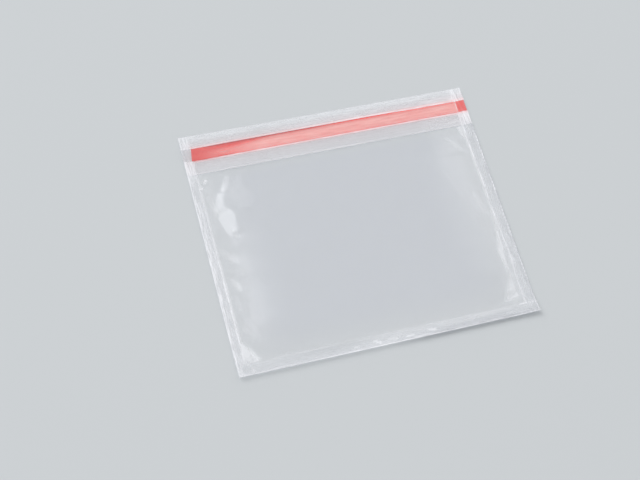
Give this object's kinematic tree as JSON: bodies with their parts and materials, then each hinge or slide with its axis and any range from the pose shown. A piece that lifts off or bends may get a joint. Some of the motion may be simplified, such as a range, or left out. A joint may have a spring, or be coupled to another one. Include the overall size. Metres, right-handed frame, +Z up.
{
  "type": "packing list envelope",
  "caption": "Flat clear film envelope, welded on its sides and bottom, with a fold-over flap closed by a red release strip; holds papers on a parcel.",
  "frame": {"origin": "on the resting surface, under the middle of the envelope", "axes": "+X along the envelope's width, +Y from the bottom weld to the folded top edge, +Z up out of the front"},
  "size_m": [0.1778, 0.1524, 0.003],
  "materials": {
    "clear_film": "clear, slightly hazy polyethylene film",
    "red_strip": "satin red film",
    "clear_adhesive": "clear pressure-sensitive adhesive"
  },
  "bodies": {
    "root": {"back_film": "clear_film", "front_film": "clear_film", "release_strip": "red_strip", "closure_adhesive": "clear_adhesive"}
  },
  "joints": []
}
